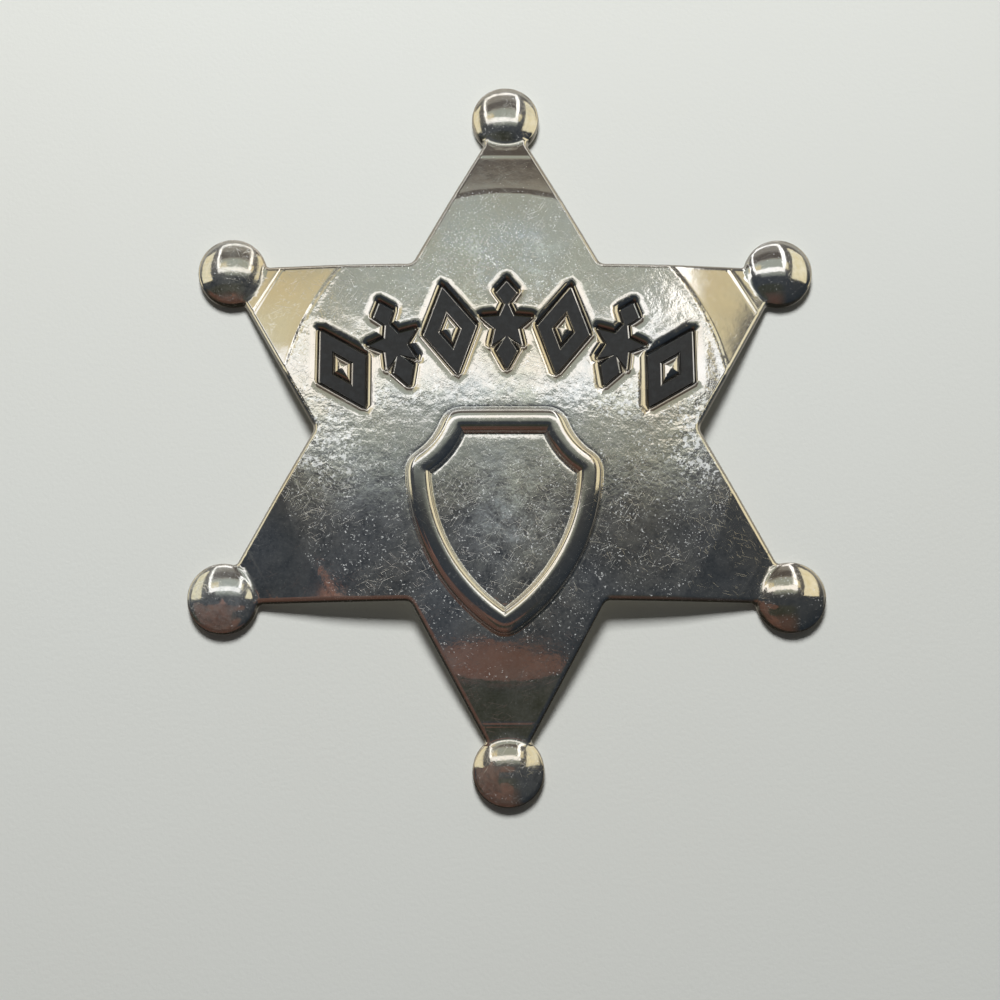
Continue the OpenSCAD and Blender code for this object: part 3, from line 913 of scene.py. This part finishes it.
def nickel_plate(finish):
    """Nickel plate on stamped brass, polished and then worn: a mirror on the points, balls and raised
    line, and in the middle a blue-grey haze of fine dents and scratches that breaks reflections up. Flecks at
    the dents and the scratches are painted near-white and partly matt: painted glints."""
    s = Shading(bpy.data.materials.new("worn_nickel_with_painted_glints"))
    worn, dent_glint_share, patina = (s.attribute(name) for name in ("haze", "dents_and_glints", "patina"))
    clouds = s.ranged(s.noise(2.2, 6.0, 0.7), 0.36, 0.62)
    grains = s.ranged(s.noise(0.3, 3.0, 0.7), 0.38, 0.64)
    haze = s.product(worn, s.total(s.product(clouds, 0.65), s.product(grains, 0.45)))
    # Painted glints: near-white flecks in clusters, more where the share of dents is high, and larger blots
    glint_dots = s.ranged(s.total(s.noise(0.21, 2.0, 0.6), s.product(dent_glint_share, 0.12)), 0.65, 0.71)
    patchy = s.ranged(s.noise(1.4, 4.0, 0.7), 0.43, 0.58, 0.12, 1.0)
    glint_dots = s.product(glint_dots, s.ranged(dent_glint_share, 0.0, 0.25), patchy)
    glint_blots = s.ranged(s.total(s.noise(0.5, 3.0, 0.6), s.product(dent_glint_share, 0.1)), 0.64, 0.69)
    glint_dots = s.largest(glint_dots, s.product(glint_blots, s.ranged(dent_glint_share, 0.5, 0.85)))
    # Real scratches, which the tint below also paints near-white as painted glints
    lines = s.largest(*(s.scratches(*row) for row in SCRATCHES))
    kept = s.ranged(s.noise(4.0), 0.42, 0.6, 0.15, 1.0)
    lines = s.product(lines, kept, s.ranged(worn, 0.1, 0.25, 0.3, 1.0))
    metal = s.mixed(s.ranged(s.noise(9.0), 0.35, 0.7), finish.nickel, finish.nickel_warm)
    veil = s.mixed(s.ranged(s.noise(5.0, 3.0, 0.6), 0.4, 0.6), finish.haze, finish.haze_green)
    # Glint flecks and scratches take the near-white painted glint colour and lose most of their metal, so
    # they show as painted glints from every side
    tint = s.mixed(s.largest(glint_dots, lines), s.mixed(haze, metal, veil), finish.painted_glint)
    matt = s.largest(s.product(glint_dots, 0.7), s.product(lines, 0.5), s.total(s.product(haze, 0.55), 0.03))
    smudged = s.ranged(s.noise(3.0, 4.0, 0.6), 0.4, 0.65, 0.07, 0.13)
    fine = s.product(s.noise(0.26, 2.0, 0.6), 0.012 * MM, s.total(s.product(worn, 0.4), dent_glint_share))
    broad = s.product(s.noise(2.4), 0.05 * MM, s.total(worn, 0.15))
    dents = s.product(s.noise(0.75, 2.0, 0.55), 0.05 * MM, dent_glint_share)
    return s.principled({
        "Base Color": s.mixed(patina, tint, finish.patina),
        "Metallic": s.joined("SUBTRACT", (1.0, matt)),
        "Roughness": s.largest(s.product(haze, 0.42), s.product(lines, 0.3), smudged),
        "Normal": s.bump(s.total(fine, broad, dents, s.product(lines, -0.006 * MM))),
    })


def black_enamel(finish):
    """Black enamel wiped into the stamping and stoved: a dark satin floor, dusty in places, with a faint
    grain of 0.15 mm."""
    s = Shading(bpy.data.materials.new("stoved_black_enamel"))
    dust = s.noise(0.7, 4.0, 0.65)
    return s.principled({
        "Base Color": s.mixed(s.ranged(dust, 0.42, 0.68), finish.enamel, finish.enamel_dust),
        "Roughness": s.ranged(dust, 0.35, 0.7, 0.32, 0.55),
        "IOR": 1.5,
        "Normal": s.bump(s.noise(0.15), 0.012 * MM),
    })


def pin_steel(finish):
    """Drawn and stamped spring steel: grey, with fine lines along the strip and the wire."""
    s = Shading(bpy.data.materials.new("drawn_steel"))
    grain = s.drawn_noise((4, 0.08, 0.08))
    return s.principled({
        "Base Color": s.mixed(s.ranged(grain, 0.35, 0.65), finish.steel_dark, finish.steel),
        "Metallic": 1.0,
        "Roughness": s.ranged(grain, 0.0, 1.0, 0.22, 0.42),
        "Normal": s.bump(grain, 0.006 * MM),
    })


def pale_floor(look):
    """Plain matt paper, pale and even, with a faint grain of 0.4 mm."""
    s = Shading(bpy.data.materials.new("matt_paper"))
    return s.principled({
        "Base Color": s.mixed(s.noise(60, 3.0), look.floor, look.floor_warm),
        "Roughness": 0.85,
        "Normal": s.bump(s.noise(0.4, 3.0), 0.02 * MM),
    })


class BADGE_OT_star_plate(Operator):
    """Makes the stamped star with its ball tips, raised shield outline and sunk fields"""

    bl_idname = "badge.star_plate"
    bl_label = "Star plate"

    def execute(self, context):
        settings = context.scene.badge
        form = StarForm(settings)
        edge = spaced(form.whole_loop, EDGE_STEP)
        out = outward(edge)
        inset = edge - out * form.star.burr
        plan, faces = filled(edge, plan_points(form, edge, FACE_CUT))
        below, below_faces = filled(inset, plan_points(form, inset, UNDER_CUT))
        n, count = len(plan), len(edge)
        top_z, low_z = form.top(plan), form.under(below)
        waist_z = np.minimum(low_z[:count] + form.star.burr, top_z[:count] - EDGE_CLEAR)
        flat = np.vstack([plan, edge, below])
        verts = np.column_stack([flat, np.concatenate([top_z, waist_z, low_z])])
        side = np.column_stack([out, np.zeros(count)])
        top_n = form.slope_normals(form.top, plan)
        top_n[:count] = unit(side + [0, 0, 0.35])
        low_n = -form.slope_normals(form.under, below)
        low_n[:count] = unit(side - [0, 0, 1])
        i = np.arange(count)
        j = (i + 1) % count
        waist, foot = n, n + count
        quads = np.vstack([
            np.column_stack([j, i, waist + i, waist + j]),
            np.column_stack([waist + j, waist + i, foot + i, foot + j]),
        ])
        triangles = np.vstack([faces, below_faces[:, ::-1] + foot])
        # Haze, dents with painted glints, and patina at each point
        worn = wear_and_glints(form, flat, np.arange(len(flat)) < n)
        piece = make_mesh("star_sheet", verts, triangles, quads, np.vstack([top_n, side, low_n]), worn)
        piece.data.materials.append(nickel_plate(settings.finish))
        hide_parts("star_plate")
        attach(piece, BODY)
        return {"FINISHED"}


class BADGE_OT_enamel(Operator):
    """Finishes the black enamel in the sunk fields"""

    bl_idname = "badge.enamel"
    bl_label = "Enamel"

    def execute(self, context):
        material = black_enamel(context.scene.badge.finish)
        for name in FIELD_NODES:
            slots = frame["nodes"][name].data.materials
            slots.clear()
            slots.append(material)
        return {"FINISHED"}


class BADGE_OT_pin(Operator):
    """Finishes the pin behind the star"""

    bl_idname = "badge.pin"
    bl_label = "Pin"

    def execute(self, context):
        slots = frame["nodes"]["pin_back"].data.materials
        slots.clear()
        slots.append(pin_steel(context.scene.badge.finish))
        return {"FINISHED"}


def glow(name, light, strength, mottle=None, ramp=()):
    """A material that only gives off light: of one colour, mottled with a second one in patches of a size in
    millimetres, or of colours that follow one another along Y."""
    s = Shading(bpy.data.materials.new(name))
    tint = light
    if mottle:
        other, size_mm = mottle
        tint = s.mixed(s.ranged(s.noise(size_mm, 3.0), 0.35, 0.7), tint, other)
    for start, end, next_tint in ramp:
        along = s.add("ShaderNodeSeparateXYZ", {0: s.place}).outputs[1]
        tint = s.mixed(s.ranged(along, start * MM, end * MM), tint, next_tint)
    shader = s.add("ShaderNodeEmission", {"Color": rgba(tint), "Strength": strength})
    s.add("ShaderNodeOutputMaterial", {"Surface": shader.outputs[0]})
    return s.owner


def flat_face(name, corners, material):
    """A flat face through corners in millimetres."""
    mesh = bpy.data.meshes.new(name)
    mesh.from_pydata((np.array(corners, float) * MM).tolist(), [], [tuple(range(len(corners)))])
    mesh.materials.append(material)
    return placed(name, mesh)


def card(name, corners, light, strength, mottle=None, ramp=()):
    """A glowing card through corners in millimetres. Only mirroring surfaces see it."""
    piece = flat_face(name, corners, glow(name, light, strength, mottle, ramp))
    for kind in ("camera", "diffuse", "shadow", "transmission", "volume_scatter"):
        setattr(piece, "visible_" + kind, False)


def dark_room(look):
    """The room round the badge: for mirroring surfaces it is dark on the near side and brown on the far
    side, and for all others an even soft light."""
    s = Shading(bpy.data.worlds.new("room"))
    x, y, z = s.add("ShaderNodeSeparateXYZ", {0: s.coordinates["Generated"]}).outputs
    above = s.mixed(s.ranged(y, 0.02, 0.5), look.dark, look.ceiling)
    aside = s.ranged(x, 0.45, 0.1)
    for start, end, tint in ((-0.22, -0.3, look.near_green), (-0.5, -0.7, look.low_brown)):
        above = s.mixed(s.product(s.ranged(y, start, end), aside), above, tint)
    below = s.mixed(s.ranged(y, -0.3, 0.1), look.below_near, look.below_far)
    whole = s.mixed(s.ranged(z, 0.06, -0.02), above, below)
    mirrored = s.add("ShaderNodeBackground", {"Color": whole, "Strength": 1.0})
    plain = s.add("ShaderNodeBackground", {"Color": rgba(look.soft), "Strength": look.soft_share})
    glossy = s.add("ShaderNodeLightPath").outputs["Is Glossy Ray"]
    both = s.add("ShaderNodeMixShader", {0: glossy, 1: plain.outputs[0], 2: mirrored.outputs[0]})
    s.add("ShaderNodeOutputWorld", {"Surface": both.outputs[0]})
    return s.owner


class BADGE_OT_stage(Operator):
    """Sets up the floor, the lights and the camera"""

    bl_idname = "badge.stage"
    bl_label = "Stage"

    def execute(self, context):
        look = context.scene.badge.stage
        scene = context.scene
        scene.view_settings.view_transform = "Standard"
        scene.world = dark_room(look)
        corners = look.floor_half / MM * np.array([(-1, -1, 0), (1, -1, 0), (1, 1, 0), (-1, 1, 0)])
        floor = flat_face("floor", corners, pale_floor(look))
        floor.visible_glossy = False
        scene.camera = self.camera(look)
        self.frame_light(look)
        self.walls(look)
        self.near_things(look)
        self.soft_light(look)
        return {"FINISHED"}

    def camera(self, look):
        """The camera, turned about its own axes by its tilt, pan and roll."""
        data = bpy.data.cameras.new("camera")
        data.lens = look.lens
        data.sensor_width = 36
        data.clip_start = 5 * MM
        camera = placed("camera", data)
        camera.location = look.camera_place
        tilt, pan, roll = look.camera_turn
        turn = Matrix.Rotation(tilt, 3, "X") @ Matrix.Rotation(pan, 3, "Y") @ Matrix.Rotation(roll, 3, "Z")
        camera.rotation_euler = turn.to_euler()
        return camera

    def frame_light(self, look):
        """A glowing frame that slopes down from over the badge to the far side, with what shows inside it and
        the glow under its near rail. Its sizes are in millimetres, and fall is its drop for each of them."""
        near, high, fall, rail = 58, 209, 0.567, 27
        left, right, far = -176, 108, 322
        inner = near + 34

        def on_slope(x, y, lift=0):
            return (x, y, high - fall * (y - near) + lift)

        def bar(name, x0, y0, x1, y1, light, strength, lift=0, **looks):
            corners = [on_slope(x, y, lift) for x, y in ((x0, y0), (x1, y0), (x1, y1), (x0, y1))]
            card(name, corners, light, strength, **looks)

        bar("frame_near", left, near, right, inner, look.frame, 1.4)
        bar("frame_left", left, inner, left + rail, far, look.frame, 2.0)
        bar("frame_right", right - rail, inner, right, far, look.frame, 2.0)
        bar("frame_far", left, far, right, far + 60, look.frame, 1.6)
        bar("corner_left", left + rail, inner, -86, near + 86, look.frame_corner, 1.05, 0.5, ramp=(
            (122, 142, look.inside),
        ))
        bar("corner_right", right, near + 20, 136, near + 74, look.frame_corner, 1.05)
        bar("inside", left + rail, inner, right - rail, far, look.inside, 1.0, 4, ramp=(
            (148, 162, look.inside_edge), (163, 168, look.inside_dark), (215, 250, look.inside_far),
        ))
        bar("under_glow", -110, 20, 110, near, look.dark, 1.0, 2, ramp=((14, near, look.inside),))

    def walls(self, look):
        """Cream walls at both sides of the far half."""
        mottle = (look.frame_corner, 60)
        right = [(145, 5, 180), (240, 5, 70), (370, 330, 42), (190, 380, 78)]
        left = [(-210, 0, 150), (-310, 0, 50), (-400, 300, 34), (-215, 300, 74)]
        card("wall_right", right, look.cream, 1.3, mottle)
        card("wall_left", left, look.cream, 1.25, mottle)

    def near_things(self, look):
        """Brown things low on the near left, all at one height, with a spike that shows on the lower left
        point."""
        high = 38
        mottle = (look.low_brown, 14)
        spike = [(-34, -22), (-24, -22), (-27, -17), (-30, -13), (-31, -18)]
        card("spike", [(x, y, high) for x, y in spike], look.brown, 1.15)
        for k, outline in enumerate((
            [
                (-150, -24), (-96, -21), (-60, -25), (-34, -22), (-12, -26), (-16, -48), (-9, -70),
                (-22, -110), (-150, -110),
            ],
            [(-12, -26), (-2, -24.5), (9, -27), (11, -30), (4, -33.5), (-12, -33)],
            [(-12, -50), (-3, -49), (7, -55), (10, -70), (12, -110), (-12, -110)],
        )):
            card(f"brown_{k}", [(x, y, high) for x, y in outline], look.brown, 0.72, mottle)

    def soft_light(self, look):
        """A soft square light on the far side, turned to the badge, which mirroring surfaces don't show."""
        data = bpy.data.lights.new("soft_far_side", "AREA")
        data.energy = look.soft_power
        data.size = look.soft_size
        light = placed("soft_far_side", data)
        light.location = look.soft_place
        light.rotation_euler = (-Vector(look.soft_place)).to_track_quat("-Z", "Y").to_euler()
        light.visible_glossy = False


OPERATORS = (BADGE_OT_star_plate, BADGE_OT_enamel, BADGE_OT_pin, BADGE_OT_stage)


class BADGE_PT_panel(Panel):
    """The badge's sizes and its steps"""

    bl_idname = "BADGE_PT_panel"
    bl_label = "Star badge"
    bl_space_type = "VIEW_3D"
    bl_region_type = "UI"
    bl_category = "Badge"

    def draw(self, context):
        settings = context.scene.badge
        for operator in OPERATORS:
            self.layout.operator(operator.bl_idname)
        for key, group in GROUPS.items():
            box = self.layout.box()
            box.label(text=group.__doc__)
            for name in group.__annotations__:
                box.prop(getattr(settings, key), name)


CLASSES = (*GROUPS.values(), BadgeSettings, *OPERATORS, BADGE_PT_panel)


def register():
    """Registers the classes and the scene's settings."""
    for item in CLASSES:
        bpy.utils.register_class(item)
    bpy.types.Scene.badge = PointerProperty(type=BadgeSettings)


def unregister():
    """Takes them away again."""
    del bpy.types.Scene.badge
    for item in reversed(CLASSES):
        bpy.utils.unregister_class(item)


def main():
    register()
    bpy.ops.badge.star_plate()
    bpy.ops.badge.enamel()
    bpy.ops.badge.pin()
    bpy.ops.badge.stage()


if __name__ == "__main__":
    main()
